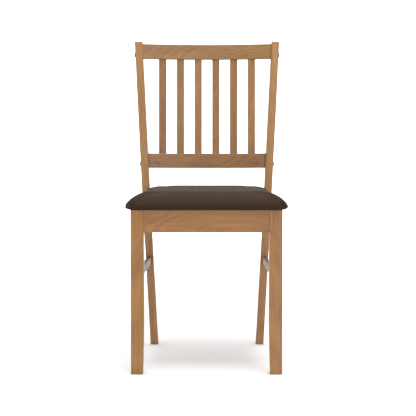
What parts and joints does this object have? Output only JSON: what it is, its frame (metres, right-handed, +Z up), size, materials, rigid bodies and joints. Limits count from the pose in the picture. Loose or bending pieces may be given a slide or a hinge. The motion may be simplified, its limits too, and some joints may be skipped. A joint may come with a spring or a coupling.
{
  "type": "dining chair",
  "caption": "Slat-back wooden dining chair with a padded seat, square tapered front legs, outward-leaning rear posts and side stretchers.",
  "frame": {"origin": "centre of the bounding box's footprint, on the floor", "axes": "+Z up, +X to the chair's right side as it is seen from the front, -Y the way the sitter faces"},
  "size_m": [0.439, 0.5184, 0.9199],
  "materials": {
    "wood": "satin lacquered honey-brown hardwood",
    "block_wood": "sawn, unfinished hardwood",
    "plywood": "sanded plywood",
    "dowel_wood": "fluted beech dowel",
    "foam": "open-cell seat foam",
    "cover_leather": "satin dark brown coated leather",
    "dust_cover": "black non-woven fabric",
    "bolt_steel": "bronzed steel",
    "nut_steel": "zinc-plated steel",
    "screw_steel": "yellow zinc-plated steel",
    "staple_steel": "galvanised steel wire"
  },
  "bodies": {
    "root": {"left_rear_post": "wood", "left_front_leg": "wood", "left_side_apron": "wood", "left_stretcher": "wood", "left_front_corner_block": "block_wood", "left_rear_corner_block": "block_wood", "right_rear_post": "wood", "right_front_leg": "wood", "right_side_apron": "wood", "right_stretcher": "wood", "right_front_corner_block": "block_wood", "right_rear_corner_block": "block_wood", "front_apron": "wood", "rear_apron": "wood", "crest_rail": "wood", "lower_back_rail": "wood", "back_slat_1": "wood", "back_slat_2": "wood", "back_slat_3": "wood", "back_slat_4": "wood", "back_slat_5": "wood", "back_slat_6": "wood", "seat_board": "plywood", "seat_foam": "foam", "seat_cover": "cover_leather", "seat_dust_cover": "dust_cover", "back_rail_bolts": "bolt_steel", "back_rail_barrel_nuts": "nut_steel", "back_rail_dowels": "dowel_wood", "corner_block_screws": "screw_steel", "seat_screws": "screw_steel", "cover_staples": "staple_steel"}
  },
  "joints": []
}
